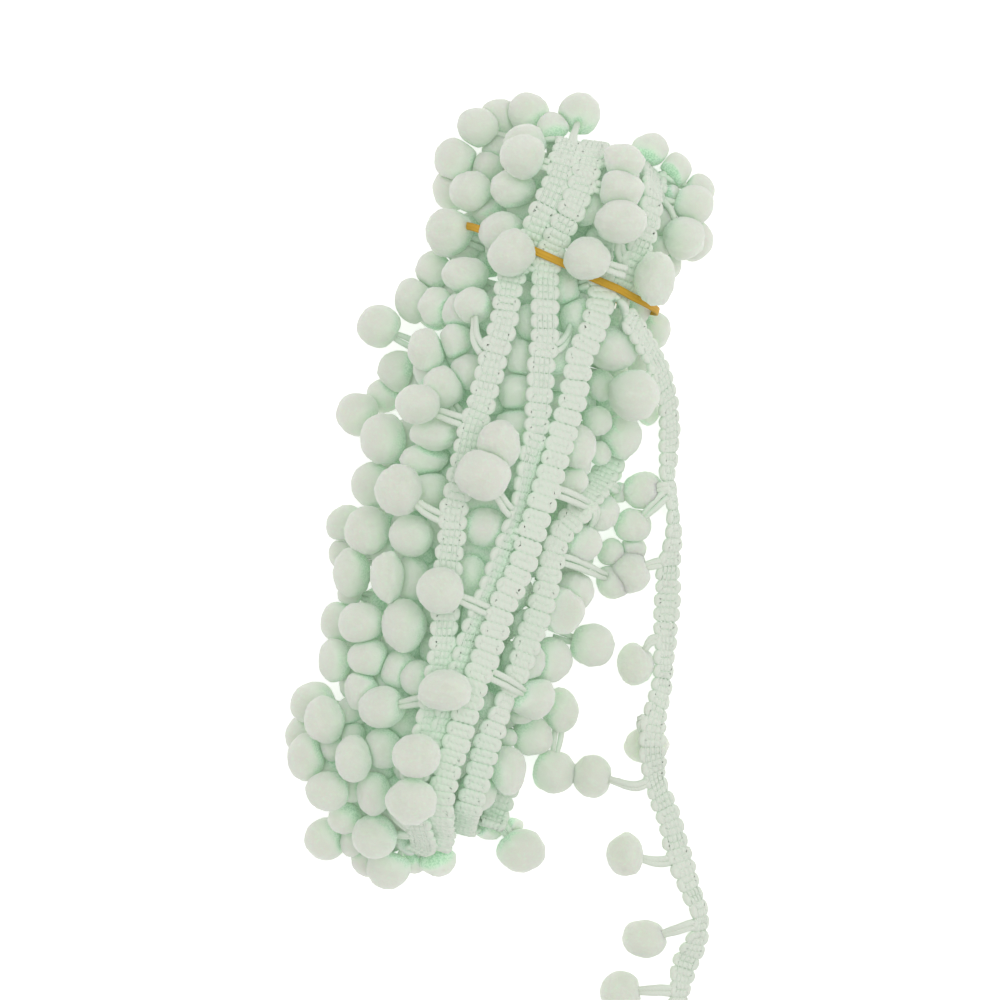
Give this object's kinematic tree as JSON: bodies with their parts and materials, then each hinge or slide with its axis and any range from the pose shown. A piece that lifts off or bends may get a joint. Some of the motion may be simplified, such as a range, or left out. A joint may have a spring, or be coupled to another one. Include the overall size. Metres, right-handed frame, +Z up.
{
  "type": "pompom fringe trim",
  "caption": "Pompom fringe trim wound into a long hank, tied round with an elastic band near one end, its loose end lying beside it.",
  "frame": {"origin": "middle of the hank's flat underside, on the surface that it lies on", "axes": "+Y along the hank towards the end tied with the elastic band, +X across it towards the loose end, +Z up"},
  "size_m": [0.1142, 0.2033, 0.0407],
  "materials": {
    "yarn": "soft spun yarn, matt",
    "tape": "ribbed woven braid, matt",
    "elastic": "thin flat elastic, slight sheen"
  },
  "bodies": {
    "root": {"hank": "yarn", "elastic_band": "elastic", "loose_tape": "tape", "tail_pompom_1": "yarn", "tail_pompom_2": "yarn", "tail_pompom_3": "yarn", "tail_pompom_4": "yarn", "tail_pompom_5": "yarn", "tail_pompom_6": "yarn", "tail_pompom_7": "yarn", "tail_pompom_8": "yarn"}
  },
  "joints": []
}
